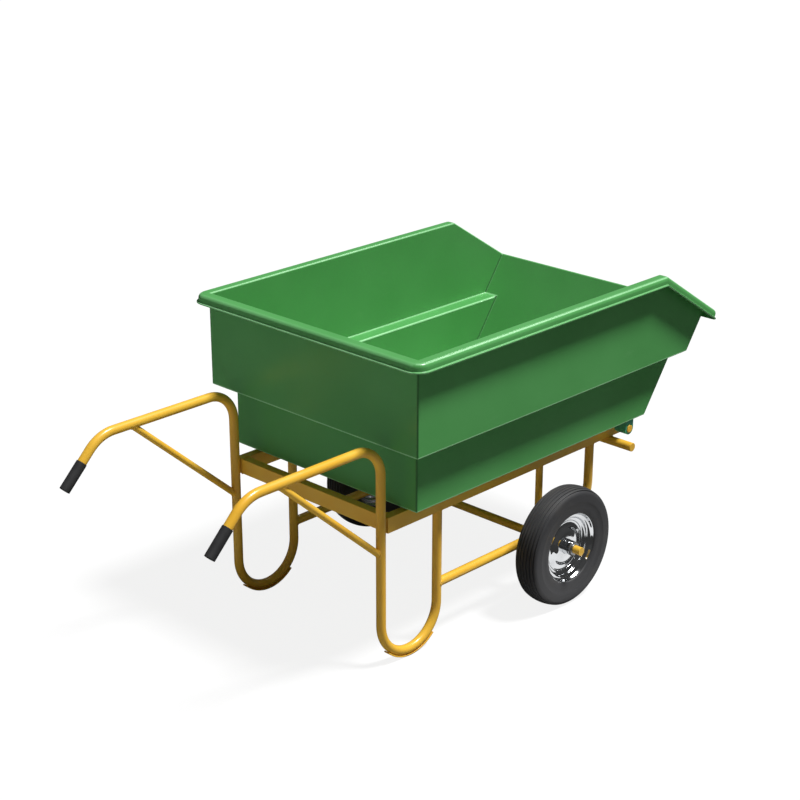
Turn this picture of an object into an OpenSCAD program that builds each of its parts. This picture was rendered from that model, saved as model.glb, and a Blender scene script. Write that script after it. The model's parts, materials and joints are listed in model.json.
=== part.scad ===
// Tipping dump cart: a moulded tub on a welded tube frame with two wheels.
// X points to the operator's right, Y forward to the pouring lip and Z up.
// Lengths along Y are given from the axle. The origin lies on the ground, in the middle of the footprint.

/* [Tub] */
// Outside width of the tub's upper section
tub_w = 903; // [750:1:1050]
// Outside of the rear wall, behind the axle
tub_rear = 709; // [640:1:780]
// Height from the floor's underside to the rim's top
tub_h = 508; // [440:1:560]
// Height of the narrow lower section
lower_h = 204; // [150:1:260]
// Inset of the lower section at the sides and the rear
step_w = 55; // [30:1:60]
// Thickness of the moulded wall
wall_t = 6; // [4:0.5:8]
// Foot of the front wall, ahead of the axle
front_foot = 459; // [420:1:500]
// Lean of the front wall from upright, in degrees
front_lean = 35.1; // [25:0.1:40]
// How far the rim starts to slope down behind the foot of the front wall
knee_back = 31; // [15:1:150]
// Slope of the rim at the pouring lip, in degrees
spout_slope = 32.4; // [20:0.1:36]

/* [Rim] */
// Width of the rim's flange outside the wall
rim_w = 35; // [20:0.5:40]
// Depth of the rim, from its top to the foot of its skirt
rim_h = 29; // [20:0.5:40]
// Outward lip at the foot of the skirt
lip_w = 6; // [3:0.5:8]
// Thickness of the lip
lip_t = 5; // [3:0.5:8]
// Corner radius of the skirt at the rear
rear_corner_r = 42; // [20:1:60]
// Corner radius of the skirt at the pouring lip
front_corner_r = 22; // [10:1:30]

/* [Runners] */
// Height of the runners under the floor
runner_h = 13; // [10:0.5:20]
// Width of a runner
runner_w = 24; // [16:1:28]
// Distance from the lower section's rear wall to the runners
runner_inset = 20; // [5:1:60]
// Distance from the hinge to the runners
runner_hinge_gap = 60; // [55:1:120]

/* [Frame] */
// Distance from the tub's lower wall in to the middle of a rail
frame_in = 71.5; // [65:0.5:90]
// Height of the rails' top above the ground
rail_top = 500; // [470:1:540]
// Width of a rail
rail_w = 30; // [28:1:34]
// Height of a rail
rail_h = 50; // [46:1:56]
// Wall of the rail's square tube
rail_wall = 2.5; // [2:0.5:4]
// Outside diameter of the frame tubes
tube_d = 30; // [26:1:32]
// Wall of the frame tubes
tube_wall = 2.5; // [2:0.5:4]

/* [Handles and legs] */
// Distance from the tub's lower rear wall to the leg's rear upright
leg_back = 78; // [76:1:110]
// Bend radius of the leg's loop, at the tube's middle
leg_bend_r = 123; // [100:1:140]
// Height of the handle's level run above the rails' top
handle_rise = 236; // [200:1:280]
// Length of the handle's level run, from the leg to the corner at the grip
handle_len = 522; // [460:1:580]
// Bend radius at the top of the leg
top_bend_r = 98; // [80:1:110]
// Bend radius at the grip
grip_bend_r = 125; // [90:1:150]
// Angle of the grip below level, in degrees
grip_angle = 45; // [30:1:50]
// Length from the handle's corner to the grip's end
grip_arm = 194; // [180:1:240]
// Diameter of the grip
grip_d = 34; // [32.5:0.5:40]
// Length of the grip
grip_len = 97; // [80:1:110]
// Thickness of the grip's closed end
grip_cap = 4; // [2:0.5:8]
// Diameter of the handle brace
brace_d = 21; // [16:1:24]
// Distance from the leg back to the brace's upper end
brace_len = 406; // [340:1:440]
// Depth of the brace's lower end below the rails' top
brace_drop = 123; // [80:1:180]
// Thickness of the wear shoe
shoe_t = 5; // [3:0.5:8]
// Width of the wear shoe
shoe_w = 24; // [20:1:40]
// Arc that the wear shoe covers, in degrees
shoe_arc = 88; // [70:1:160]

/* [Lower tubes and struts] */
// Distance from the hinge back to the lower tube's front upright
post_back = 133; // [110:1:150]
// Bend radius of the lower tube
lower_bend_r = 116; // [100:1:140]
// Diameter of the axle strut
strut_d = 24; // [20:1:28]
// Outside diameter of the axle boss
boss_d = 44; // [40:1:54]
// Length of the axle boss
boss_len = 44; // [34:1:60]

/* [Front cross tube] */
// Distance from the hinge back to the front cross tube
cross_back = 36; // [34:1:70]
// Length of the front cross tube outside the middle of a rail
cross_out = 105; // [60:1:125]
// Thickness of its end caps
cross_cap = 3; // [2:0.5:5]

/* [Hinge] */
// Distance from the foot of the front wall back to the hinge
hinge_back = 68; // [55:1:75]
// Depth of the hinge below the rails' top
hinge_drop = 20; // [18:0.5:24]
// Diameter of the hinge rod
rod_d = 26; // [22:1:28]
// Length of the rail ahead of the hinge
rail_nose = 20; // [18:0.5:22]
// Outside radius of the hinge ear
ear_r = 21; // [19:0.5:23]
// Width of the hinge ear along the rod
ear_w = 46; // [36:1:48]
// Length of the rod outside the ear
rod_end = 4; // [2:0.5:10]
// Diameter of a hinge bolt
bolt_d = 8; // [6:1:10]
// Distance between the two bolts of an ear
bolt_pitch = 24; // [20:1:26]
// Depth of a bolt's thread in the ear
bolt_grip = 12; // [8:0.5:13]

/* [Axle] */
// Diameter of the axle
axle_d = 28; // [24:1:30]
// Length of the axle outside the wheel's middle plane
axle_out = 77; // [66:1:100]
// Outside diameter of the inner collar
collar_d = 46; // [38:1:56]
// Width of the inner collar
collar_w = 10; // [6:1:20]
// Outside diameter of the outer washer
washer_d = 40; // [36:1:50]
// Thickness of the outer washer
washer_t = 2.5; // [1.5:0.5:4]
// Thickness of the retaining ring
ring_t = 2; // [1.5:0.5:3]
// Radial height of the retaining ring above the axle
ring_h = 3; // [2:0.5:4]
// Depth of the retaining ring's groove
groove_h = 1; // [0.5:0.5:2]
// Opening of the retaining ring
ring_slot = 8; // [5:1:12]

/* [Tyre] */
// Distance from the middle of a rail out to the wheel's middle plane
wheel_out = 108; // [100:1:125]
// Outside diameter of the tyre
tyre_d = 400; // [390:1:420]
// Width of the tyre
tyre_w = 86; // [80:1:106]
// Thickness of the tyre's casing
casing_t = 6; // [4:0.5:8]
// Width of the tyre's bead
bead_w = 10; // [8:0.5:12]
// Radius of the crown across the tread
crown_r = 110; // [90:1:140]
// Radius of the tyre's shoulder
shoulder_r = 18; // [14:1:20]
// Number of grooves round the tread
groove_n = 5; // [3:1:7]
// Distance between the grooves
groove_pitch = 11; // [9:0.5:12]
// Width of a groove
groove_w = 3; // [2:0.5:4]
// Depth of a groove
groove_d = 3; // [2:0.5:4]
// Thickness of the inner tube's wall
inner_tube_t = 2; // [1.5:0.5:3]

/* [Wheel] */
// Diameter of the rim at the tyre's bead
seat_d = 203; // [200:1:206]
// Outside diameter of the rim's flange
flange_d = 234; // [226:1:240]
// Width between the rim's flanges
rim_in_w = 63; // [58:1:68]
// Thickness of the rim's sheet
rim_t = 3; // [2:0.5:4]
// Outside diameter of the rim's well
well_d = 176; // [168:1:184]
// Width of the well inside its walls
well_w = 34; // [32:1:38]
// Place of the wheel disc's rear face, outward from the wheel's middle
disc_u = 1; // [0:0.5:3]
// Depth of the disc's collar
disc_collar = 12; // [8:1:14]
// Diameter of the disc's raised centre
disc_step_d = 118; // [100:1:130]
// Height of the disc's raised centre
disc_rise = 16; // [8:1:24]
// Outside diameter of the hub
hub_d = 48; // [44:1:56]
// Length of the hub
hub_len = 84; // [70:1:90]
// Outside diameter of the bush in the hub
bush_d = 36; // [34:1:38]
// Length of the bush in the hub
bush_len = 24; // [16:1:30]
// Thickness of the bush's flange
bush_flange = 3; // [2:0.5:5]
// Diameter of the valve
valve_d = 10; // [8:1:11]
// Place of the valve, inward from the wheel's middle
valve_u = 9; // [8:0.5:10]
// Length of the valve inside the rim
valve_len = 26; // [16:1:32]

/* [Clearances] */
// Gap at a weld between two tubes
weld_gap = 0.1; // [0.05:0.05:0.2]
// Radial gap of a fixed fit
fit_gap = 0.05; // [0.02:0.01:0.1]
// Radial gap of a turning fit
run_gap = 0.05; // [0.02:0.01:0.1]
// Gap at the side of a turning piece
side_gap = 0.4; // [0.3:0.1:1]
// Gap between the runners and the rails
rest_gap = 0.3; // [0.2:0.1:0.6]
// Gap between the inner tube and the casing
soft_gap = 0.4; // [0.3:0.1:1]

/* [Hidden] */
$fn = 96;
left = -1;
right = 1;
// Extra length of a cutter past the face that it opens
overcut = 2;

// How much thinner the handle's tube is drawn past its last bend
grip_neck = 0.05;

// How far the thinner end starts inside that bend
neck_sink = 1;

// How far the rounding of the spout's corners stays from its sides
corner_ease = 0.02;
// Pieces in each arc of the tyre's section
arc_n = 8;
// Length of the cutters that run past the whole tub
far = 2 * tub_h;

tub_green = "#3f8a42";
ear_green = "#1f5f4a";
frame_yellow = "#e2a72f";
grip_black = "#2a2a2a";
tyre_grey = "#404042";
tube_black = "#1e1e1e";
rim_chrome = "#c9ccd0";
bush_grey = "#8d9194";
bolt_steel = "#a9adb2";

tube_r = tube_d / 2;
axle_r = axle_d / 2;
axle_z = tyre_d / 2;
rod_r = rod_d / 2;
rail_bottom = rail_top - rail_h;
weld_top = rail_bottom - weld_gap;

// Side view of the tub, with the front wall as one line from the floor to the rim
knee = front_foot - knee_back;
floor_z = rail_top + rest_gap + runner_h;
bed_z = floor_z + wall_t;
step_z = floor_z + lower_h;
ledge_z = step_z + wall_t;
rim_z = floor_z + tub_h;
lean = tan(front_lean);
slope = tan(spout_slope);
front_skin = wall_t / cos(front_lean);
spout_len = (lip_at(0).x - knee) / cos(spout_slope) + rim_w;
rim_half_w = tub_w / 2 + rim_w;
lower_half_w = tub_w / 2 - step_w;
lower_rear = tub_rear - step_w;

// Frame, handle and leg
frame_x = lower_half_w - frame_in;
hinge_y = front_foot - hinge_back;
cross_y = hinge_y - cross_back;
cross_len = 2 * (frame_x + cross_out);
front_post = hinge_y - post_back;
leg_rear = lower_rear + leg_back;
handle_z = rail_top + handle_rise;
handle_corner = leg_rear + handle_len;
brace_top = leg_rear + brace_len;
brace_foot = rail_top - brace_drop;
leg_front = leg_rear - 2 * leg_bend_r;
leg_mid = leg_rear - leg_bend_r;
loop_z = leg_bend_r + tube_r + weld_gap + shoe_t;
grip_dir = [-cos(grip_angle), -sin(grip_angle)];
grip_corner = [-handle_corner, handle_z];
grip_end = grip_corner + grip_arm * grip_dir;
handle_end = grip_end - (grip_cap + weld_gap) * grip_dir;
rail_rear = -leg_rear + tube_r + weld_gap;
rail_front = hinge_y + rail_nose;

// Hinge
hinge_z = rail_top - hinge_drop;
ear_x = frame_x + rail_w / 2 + side_gap;
rod_len = 2 * (ear_x + ear_w + rod_end);
bolt_head_d = 2 * bolt_d;
bolt_head_h = bolt_d / 2;

// Wheel, measured outward from its middle plane
wheel_x = frame_x + wheel_out;
axle_len = 2 * (wheel_x + axle_out);
seat_r = seat_d / 2;
flange_r = flange_d / 2;
rim_half = rim_in_w / 2;
well_half = well_w / 2;
well_r = well_d / 2;
bead_out = rim_half - weld_gap;
bead_in = bead_out - bead_w;

// Tyre's section as three arcs on each side: crown, shoulder and side wall
crown_mid = [tyre_d / 2 - crown_r, 0];
crown_angle = asin((tyre_w / 2 - shoulder_r) / (crown_r - shoulder_r));
shoulder_mid = crown_mid + (crown_r - shoulder_r) * [cos(crown_angle), sin(crown_angle)];
side_rise = shoulder_mid.x - flange_r - weld_gap;
side_bulge = tyre_w / 2 - bead_out;
side_r = (side_rise * side_rise + side_bulge * side_bulge) / (2 * side_bulge);
side_mid = [shoulder_mid.x, tyre_w / 2 - side_r];
side_angle = 90 + asin(side_rise / side_r);
inner_tube_inset = casing_t + soft_gap;
inner_tube_foot = section(inner_tube_inset)[0].x;

hub_half = hub_len / 2;
hub_r = hub_d / 2;
hub_end = wheel_x + hub_half + bush_flange;
collar_x = wheel_x - hub_half - bush_flange - side_gap - collar_w;
washer_x = hub_end + side_gap;
ring_x = washer_x + washer_t + weld_gap;
ring_inner_r = axle_r - groove_h + fit_gap;

// The footprint's middle lies at the origin
front_reach = knee + spout_len * cos(spout_slope);
rear_reach = grip_end.x - grip_d / 2 * sin(grip_angle);
axle_y = -(front_reach + rear_reach) / 2;

// A bending table, longer at both ends
function longer(table) = let (n = len(table) - 1) [
    for (i = [0 : n])
        [table[i][0] + (i == 0 ? overcut : 0) + (i == n ? overcut : 0), table[i][1], table[i][2]]
];
// Points along an arc, as distances from the axle and from the wheel's middle plane
function arc_points(mid, r, from, to) = [
    for (i = [1 : arc_n]) let (t = from + (to - from) * i / arc_n) mid + r * [cos(t), sin(t)]
];
function reversed(points) = [for (i = [len(points) - 1 : -1 : 0]) points[i]];
// Half of the tyre's section from the crown to the bead, set in from the outside
function half_section(inset) = concat(
    arc_points(crown_mid, crown_r - inset, 0, crown_angle),
    arc_points(shoulder_mid, shoulder_r - inset, crown_angle, 90),
    arc_points(side_mid, side_r - inset, 90, side_angle)
);
// The tyre's section from bead to bead
function section(inset) = let (half = half_section(inset)) concat(
    [for (p = reversed(half)) [p.x, -p.y]], [crown_mid + [crown_r - inset, 0]], half
);
// Outside of the front wall at height z, ahead of the axle
function front_at(z) = front_foot + (z - floor_z) * lean;
// Where the front wall comes to a depth below the top of the spout, in the side view
function lip_at(depth) = let (
    drop = depth / cos(spout_slope),
    y = (front_foot + (tub_h - drop + knee * slope) * lean) / (1 + slope * lean)
) [y, rim_z - drop - (y - knee) * slope];
// The rim's corner at the knee, at a depth below its top
function knee_at(depth) = [knee - depth * tan(spout_slope / 2), rim_z - depth];
// The end of a spout of some length, at a depth below its top
function spout_at(length, depth) =
    [knee, rim_z] + length * [cos(spout_slope), -sin(spout_slope)]
    - depth * [sin(spout_slope), cos(spout_slope)];

// Places a piece that is measured from the axle
module from_axle() {
    translate([0, axle_y, 0]) children();
}

// Turns a drawing in Y and Z upright, at the distance x from the middle
module side_view(x) {
    from_axle() translate([x, 0, 0]) rotate([90, 0, 90]) children();
}

// Bar along X between two places
module cross_bar(x0, x1, y, z, r) {
    from_axle() translate([x0, y, z]) rotate([0, 90, 0]) cylinder(h = x1 - x0, r = r);
}

// Places a wheel piece, with its Z axis pointing outward along the axle
module on_wheel(side) {
    from_axle() translate([side * wheel_x, 0, axle_z]) rotate([0, side * 90, 0]) children();
}

// Solid bar along X that follows a bending table from its row i on.
// A row holds a straight length, the angle of the bend after it and that bend's radius.
// The last straight is drawn thinner by neck and starts inside the bend before it.
module bent_bar(table, r, neck = 0, i = 0) {
    run = table[i][0];
    turn = table[i][1];
    bend_r = table[i][2];
    side = sign(turn);
    thinner = i == len(table) - 1 ? neck : 0;
    sink = thinner > 0 ? neck_sink : 0;
    translate([-sink, 0, 0]) rotate([0, 90, 0]) cylinder(h = run + sink, r = r - thinner);
    if (turn != 0)
        translate([run, side * bend_r, 0]) {
            rotate([0, 0, side > 0 ? -90 : 90 + turn])
                rotate_extrude(angle = abs(turn))
                    translate([bend_r, 0])
                        circle(r = r);
            rotate([0, 0, turn])
                translate([0, -side * bend_r, 0])
                    bent_bar(table, r, neck, i + 1);
        }
}

// Hollow tube along X that follows a bending table
module bent_tube(table, d, wall, neck = 0) {
    difference() {
        bent_bar(table, d / 2, neck);
        translate([-overcut, 0, 0]) bent_bar(longer(table), d / 2 - wall, neck);
    }
}

// Turns what lies along X so that it runs from one place to another in the side view
module between(from, to) {
    way = to - from;
    translate(from) rotate([0, 0, atan2(way.y, way.x)]) children();
}

// Straight bar between two places in the side view
module straight_bar(from, to, r) {
    between(from, to) bent_bar([[norm(to - from), 0, 0]], r);
}

// Straight tube between two places in the side view
module straight_tube(from, to, d) {
    between(from, to) bent_tube([[norm(to - from), 0, 0]], d, tube_wall);
}

// Prism over the whole width of the tub or a part of it, from a side view
module tub_prism(points, w) {
    side_view(0) linear_extrude(w, center = true) polygon(points);
}

// What rounding takes off the two corners at the end of a plate
module corner_cuts(half_w, length, r, h) {
    linear_extrude(h)
        for (side = [left, right])
            translate([side * (half_w - r), length - r])
                difference() {
                    translate([side > 0 ? 0 : -r - overcut, 0]) square(r + overcut);
                    circle(r = r);
                }
}

// Layer of the rim between two depths below its top, grown outward or inward
module rim_layer(grow, top, bottom) {
    half_w = rim_half_w + grow;
    rear = tub_rear + rim_w + grow;
    length = spout_len + grow;
    h = bottom + 2 * overcut;
    difference() {
        tub_prism([
            [-rear, rim_z - top], knee_at(top), spout_at(length, top),
            spout_at(length, bottom), knee_at(bottom), [-rear, rim_z - bottom]
        ], 2 * half_w);
        from_axle() {
            translate([0, 0, rim_z - bottom - overcut])
                rotate(180)
                    corner_cuts(half_w, rear, rear_corner_r + grow, h);
            translate([0, knee, rim_z])
                rotate([-spout_slope, 0, 0])
                    translate([0, 0, -bottom - overcut])
                        corner_cuts(half_w + corner_ease, length + corner_ease, front_corner_r + grow, h);
        }
    }
}

module tub_rim() {
    difference() {
        union() {
            rim_layer(0, 0, rim_h);
            rim_layer(lip_w, rim_h - lip_t, rim_h);
        }
        rim_layer(-wall_t, wall_t, rim_h + overcut);
    }
}

module tub_outside() {
    tub_prism([
        [-tub_rear, step_z], [front_at(step_z), step_z],
        lip_at(wall_t / 2), knee_at(wall_t / 2), [-tub_rear, rim_z - wall_t / 2]
    ], tub_w);
    tub_prism([
        [-lower_rear, floor_z], [front_foot, floor_z],
        [front_at(ledge_z), ledge_z], [-lower_rear, ledge_z]
    ], 2 * lower_half_w);
}

module tub_inside() {
    tub_prism([
        [-tub_rear + wall_t, ledge_z], [front_at(ledge_z) - front_skin, ledge_z],
        [front_at(rim_z + far) - front_skin, rim_z + far], [-tub_rear + wall_t, rim_z + far]
    ], tub_w - 2 * wall_t);
    tub_prism([
        [-lower_rear + wall_t, bed_z], [front_at(bed_z) - front_skin, bed_z],
        [front_at(ledge_z + overcut) - front_skin, ledge_z + overcut],
        [-lower_rear + wall_t, ledge_z + overcut]
    ], 2 * (lower_half_w - wall_t));
}

module runners() {
    runner_start = -lower_rear + runner_inset;
    for (side = [left, right])
        from_axle()
            translate([side * frame_x - runner_w / 2, runner_start, floor_z - runner_h])
                cube([runner_w, hinge_y - runner_hinge_gap - runner_start, runner_h + wall_t / 2]);
}

// Countersunk bolts down through the floor into the ears, each grown by a gap
module bolt_set(gap) {
    for (side = [left, right], place = [left, right])
        from_axle()
            translate([side * (ear_x + ear_w / 2) + place * bolt_pitch / 2, hinge_y, 0]) {
                translate([0, 0, floor_z - bolt_grip - gap])
                    cylinder(h = bolt_grip + gap + wall_t, r = bolt_d / 2 + gap);
                translate([0, 0, bed_z - bolt_head_h])
                    cylinder(h = bolt_head_h, r1 = bolt_d / 2 + gap, r2 = bolt_head_d / 2 + gap);
            }
}

module tub() {
    color(tub_green) difference() {
        union() {
            tub_outside();
            tub_rim();
            runners();
        }
        tub_inside();
        bolt_set(0);
    }
}

module hinge_ear(side) {
    color(ear_green) difference() {
        side_view(side * (ear_x + ear_w / 2))
            linear_extrude(ear_w, center = true)
                difference() {
                    union() {
                        translate([hinge_y, hinge_z]) circle(r = ear_r);
                        translate([hinge_y - ear_r, hinge_z]) square([2 * ear_r, floor_z - hinge_z]);
                    }
                    translate([hinge_y, hinge_z]) circle(r = rod_r + run_gap);
                }
        bolt_set(fit_gap);
    }
}

module hinge_bolts() {
    color(bolt_steel) bolt_set(-fit_gap);
}

module rail(side) {
    inner = [rail_w - 2 * rail_wall, rail_front - rail_rear + 2 * overcut, rail_h - 2 * rail_wall];
    color(frame_yellow) difference() {
        from_axle() translate([side * frame_x - rail_w / 2, rail_rear, rail_bottom]) difference() {
            cube([rail_w, rail_front - rail_rear, rail_h]);
            translate([rail_wall, -overcut, rail_wall]) cube(inner);
        }
        cross_bar(-rod_len / 2, rod_len / 2, hinge_y, hinge_z, rod_r + fit_gap);
    }
}

module rear_cross_member() {
    span = 2 * (frame_x - rail_w / 2 - weld_gap);
    color(frame_yellow) from_axle() translate([-span / 2, rail_rear, rail_bottom]) difference() {
        cube([span, rail_w, rail_h]);
        translate([-overcut, rail_wall, rail_wall])
            cube([span + 2 * overcut, rail_w - 2 * rail_wall, rail_h - 2 * rail_wall]);
    }
}

module front_cross_tube() {
    half = cross_len / 2 - cross_cap - weld_gap;
    z = weld_top - tube_r;
    color(frame_yellow) difference() {
        cross_bar(-half, half, cross_y, z, tube_r);
        cross_bar(-half - overcut, half + overcut, cross_y, z, tube_r - tube_wall);
    }
}

module front_tube_caps() {
    z = weld_top - tube_r;
    color(frame_yellow) for (side = [left, right])
        cross_bar(
            min(side * cross_len / 2, side * (cross_len / 2 - cross_cap)),
            max(side * cross_len / 2, side * (cross_len / 2 - cross_cap)),
            cross_y, z, tube_r
        );
}

module hinge_rod() {
    color(frame_yellow) cross_bar(-rod_len / 2, rod_len / 2, hinge_y, hinge_z, rod_r);
}

module handle_leg(side) {
    grip_setback = grip_bend_r * tan(grip_angle / 2);
    table = [
        [weld_top - loop_z, -180, leg_bend_r],
        [handle_z - top_bend_r - loop_z, 90, top_bend_r],
        [handle_corner - leg_rear - grip_setback - top_bend_r, grip_angle, grip_bend_r],
        [norm(grip_corner - handle_end) - grip_setback, 0, 0]
    ];
    color(frame_yellow) side_view(side * frame_x)
        translate([-leg_front, weld_top]) rotate([0, 0, -90])
            bent_tube(table, tube_d, tube_wall, grip_neck);
}

module handle_brace(side) {
    color(frame_yellow) side_view(side * frame_x) difference() {
        straight_tube([-brace_top, handle_z], [-leg_rear, brace_foot], brace_d);
        straight_bar([-handle_corner, handle_z], [-leg_rear, handle_z], tube_r + weld_gap);
        straight_bar([-leg_rear, handle_z], [-leg_rear, loop_z], tube_r + weld_gap);
    }
}

module grip(side) {
    start = grip_end - grip_len * grip_dir;
    bore_end = grip_end - grip_cap * grip_dir;
    color(grip_black) side_view(side * frame_x) difference() {
        straight_bar(start, grip_end, grip_d / 2);
        straight_bar(start - overcut * grip_dir, bore_end, tube_r - grip_neck + fit_gap);
    }
}

module leg_shoe(side) {
    color(frame_yellow) side_view(side * frame_x)
        translate([-leg_mid, loop_z])
            rotate([0, 0, -90 - shoe_arc / 2])
                rotate_extrude(angle = shoe_arc)
                    translate([loop_z - shoe_t, -shoe_w / 2])
                        square([shoe_t, shoe_w]);
}

// Space taken by the axle boss, with the gap of its weld
module boss_space() {
    translate([0, axle_z, -boss_len]) cylinder(h = 2 * boss_len, r = boss_d / 2 + weld_gap);
}

module lower_tube_rear(side) {
    color(frame_yellow) side_view(side * frame_x) difference() {
        straight_tube([-leg_front, axle_z], [0, axle_z], tube_d);
        straight_bar([-leg_front, loop_z], [-leg_front, rail_bottom], tube_r + weld_gap);
        boss_space();
    }
}

module lower_tube_front(side) {
    table = [
        [front_post - lower_bend_r, 90, lower_bend_r],
        [weld_top - axle_z - lower_bend_r, 0, 0]
    ];
    color(frame_yellow) side_view(side * frame_x) difference() {
        translate([0, axle_z]) bent_tube(table, tube_d, tube_wall);
        boss_space();
    }
}

module axle_strut(side) {
    color(frame_yellow) side_view(side * frame_x) difference() {
        straight_tube([0, axle_z], [0, weld_top], strut_d);
        boss_space();
    }
}

module axle_boss(side) {
    x = side * frame_x - boss_len / 2;
    color(frame_yellow) difference() {
        cross_bar(x, x + boss_len, 0, axle_z, boss_d / 2);
        cross_bar(x - overcut, x + boss_len + overcut, 0, axle_z, axle_r + fit_gap);
    }
}

// Ring round the axle, from the distance x outward on both sides of the cart
module axle_ring_pair(x, w, inner_r, outer_r) {
    for (side = [left, right]) {
        low = min(side * x, side * (x + w));
        difference() {
            cross_bar(low, low + w, 0, axle_z, outer_r);
            cross_bar(low - overcut, low + w + overcut, 0, axle_z, inner_r);
        }
    }
}

module axle() {
    color(frame_yellow) difference() {
        cross_bar(-axle_len / 2, axle_len / 2, 0, axle_z, axle_r);
        axle_ring_pair(ring_x - fit_gap, ring_t + 2 * fit_gap, axle_r - groove_h, axle_r + overcut);
    }
}

module axle_collars() {
    color(frame_yellow) axle_ring_pair(collar_x, collar_w, axle_r + fit_gap, collar_d / 2);
}

module axle_washers() {
    color(bolt_steel) axle_ring_pair(washer_x, washer_t, axle_r + fit_gap, washer_d / 2);
}

module axle_rings() {
    color(bolt_steel) difference() {
        axle_ring_pair(ring_x, ring_t, ring_inner_r, axle_r + ring_h);
        from_axle() translate([-axle_len / 2, -ring_slot / 2, axle_z - 2 * axle_r])
            cube([axle_len, ring_slot, 2 * axle_r]);
    }
}

module tyre(side) {
    foot = seat_r + weld_gap;
    color(tyre_grey) on_wheel(side) rotate_extrude() difference() {
        polygon(concat(
            section(0), [[foot, bead_out], [foot, bead_in]],
            reversed(section(casing_t)), [[foot, -bead_in], [foot, -bead_out]]
        ));
        for (i = [0 : groove_n - 1])
            translate([tyre_d / 2 - groove_d, (i - (groove_n - 1) / 2) * groove_pitch - groove_w / 2])
                square([groove_d + overcut, groove_w]);
    }
}

module inner_tube(side) {
    color(tube_black) on_wheel(side) rotate_extrude() difference() {
        polygon(section(inner_tube_inset));
        intersection() {
            polygon(section(inner_tube_inset + inner_tube_t));
            translate([inner_tube_foot + inner_tube_t, -tyre_w / 2]) square([tyre_d, tyre_w]);
        }
    }
}

// Valve from the inner tube in through the rim, on the side of the disc that faces the frame
module valve_stem(gap) {
    reach = inner_tube_foot - weld_gap;
    translate([0, well_r - rim_t - valve_len, -valve_u])
        rotate([-90, 0, 0])
            cylinder(h = reach - well_r + rim_t + valve_len, r = valve_d / 2 + gap);
}

module valve(side) {
    color(tube_black) on_wheel(side) valve_stem(0);
}

module rim(side) {
    color(rim_chrome) on_wheel(side) difference() {
        rotate_extrude() {
            translate([well_r - rim_t, -well_half - rim_t]) square([rim_t, well_w + 2 * rim_t]);
            for (edge = [left, right]) {
                translate([well_r - rim_t, edge > 0 ? well_half : -well_half - rim_t])
                    square([seat_r - well_r + rim_t, rim_t]);
                translate([seat_r - rim_t, edge > 0 ? well_half : -rim_half - rim_t])
                    square([rim_t, rim_half + rim_t - well_half]);
                translate([seat_r - rim_t, edge > 0 ? rim_half : -rim_half - rim_t])
                    square([flange_r - seat_r + rim_t, rim_t]);
            }
        }
        valve_stem(fit_gap);
    }
}

module wheel_disc(side) {
    edge_r = well_r - rim_t - weld_gap;
    step_r = disc_step_d / 2;
    color(rim_chrome) on_wheel(side) translate([0, 0, disc_u]) rotate_extrude() {
        translate([edge_r - rim_t, 0]) square([rim_t, disc_collar]);
        translate([step_r - rim_t, 0]) square([edge_r - step_r + rim_t, rim_t]);
        translate([step_r - rim_t, 0]) square([rim_t, disc_rise]);
        translate([hub_r + weld_gap, disc_rise - rim_t])
            square([step_r - hub_r - weld_gap, rim_t]);
    }
}

module hub(side) {
    color(rim_chrome) on_wheel(side) rotate_extrude()
        translate([bush_d / 2 + fit_gap, -hub_half])
            square([hub_r - bush_d / 2 - fit_gap, hub_len]);
}

module hub_bushes(side) {
    bore = axle_r + run_gap;
    color(bush_grey) on_wheel(side) for (end = [left, right])
        rotate([end > 0 ? 0 : 180, 0, 0])
            rotate_extrude() {
                translate([bore, hub_half - bush_len]) square([bush_d / 2 - bore, bush_len]);
                translate([bore, hub_half]) square([hub_r - bore, bush_flange]);
            }
}

tub();
hinge_ear(left);  // hinge_ear_left
hinge_ear(right);  // hinge_ear_right
hinge_bolts();
rail(left);  // rail_left
rail(right);  // rail_right
rear_cross_member();
front_cross_tube();
front_tube_caps();
hinge_rod();
handle_leg(left);  // handle_leg_left
handle_leg(right);  // handle_leg_right
handle_brace(left);  // handle_brace_left
handle_brace(right);  // handle_brace_right
grip(left);  // grip_left
grip(right);  // grip_right
leg_shoe(left);  // leg_shoe_left
leg_shoe(right);  // leg_shoe_right
lower_tube_rear(left);  // lower_tube_rear_left
lower_tube_rear(right);  // lower_tube_rear_right
lower_tube_front(left);  // lower_tube_front_left
lower_tube_front(right);  // lower_tube_front_right
axle_strut(left);  // axle_strut_left
axle_strut(right);  // axle_strut_right
axle_boss(left);  // axle_boss_left
axle_boss(right);  // axle_boss_right
axle();
axle_collars();
axle_washers();
axle_rings();
tyre(left);  // tyre_left
tyre(right);  // tyre_right
inner_tube(left);  // inner_tube_left
inner_tube(right);  // inner_tube_right
valve(left);  // valve_left
valve(right);  // valve_right
rim(left);  // rim_left
rim(right);  // rim_right
wheel_disc(left);  // wheel_disc_left
wheel_disc(right);  // wheel_disc_right
hub(left);  // hub_left
hub(right);  // hub_right
hub_bushes(left);  // hub_bushes_left
hub_bushes(right);  // hub_bushes_right
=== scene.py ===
import json
import math
import bpy
import bmesh
from mathutils import Matrix, Vector


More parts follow.
